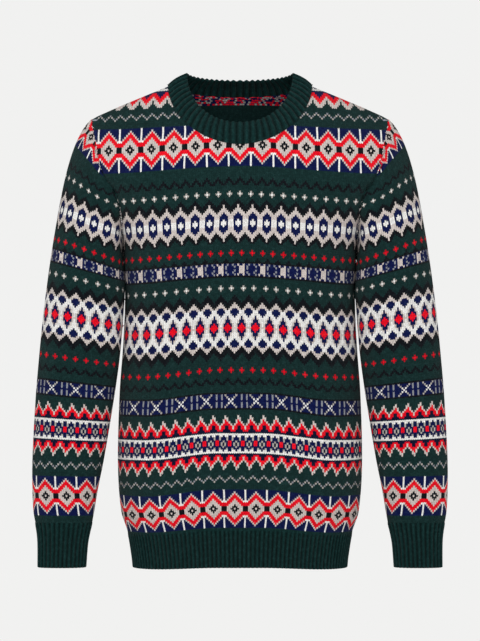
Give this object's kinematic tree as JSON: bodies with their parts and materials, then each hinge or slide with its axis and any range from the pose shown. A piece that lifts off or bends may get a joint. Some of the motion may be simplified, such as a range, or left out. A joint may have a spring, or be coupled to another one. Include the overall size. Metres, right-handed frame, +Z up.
{
  "type": "fair isle jumper",
  "caption": "Crew-neck long-sleeved knitted jumper with bands of stranded colourwork and ribbed neck, cuffs and hem, filled out as worn.",
  "frame": {"origin": "midway between the two shoulder neck points, where the wearer's shoulders carry the jumper", "axes": "+Z up, the front faces -Y, the wearer's left is at +X"},
  "size_m": [0.6026, 0.2248, 0.7185],
  "materials": {
    "front": "stranded wool colourwork on dark green",
    "back": "stranded wool colourwork on dark green",
    "sleeve_left": "stranded wool colourwork on dark green",
    "sleeve_right": "stranded wool colourwork on dark green",
    "neckband": "ribbed wool, dark green",
    "front_welt": "ribbed wool, dark green",
    "back_welt": "ribbed wool, dark green",
    "cuff_left": "ribbed wool, dark green",
    "cuff_right": "ribbed wool, dark green"
  },
  "bodies": {
    "root": {"front": "front", "back": "back", "sleeve_left": "sleeve_left", "sleeve_right": "sleeve_right", "neckband": "neckband", "front_welt": "front_welt", "back_welt": "back_welt", "cuff_left": "cuff_left", "cuff_right": "cuff_right"}
  },
  "joints": []
}
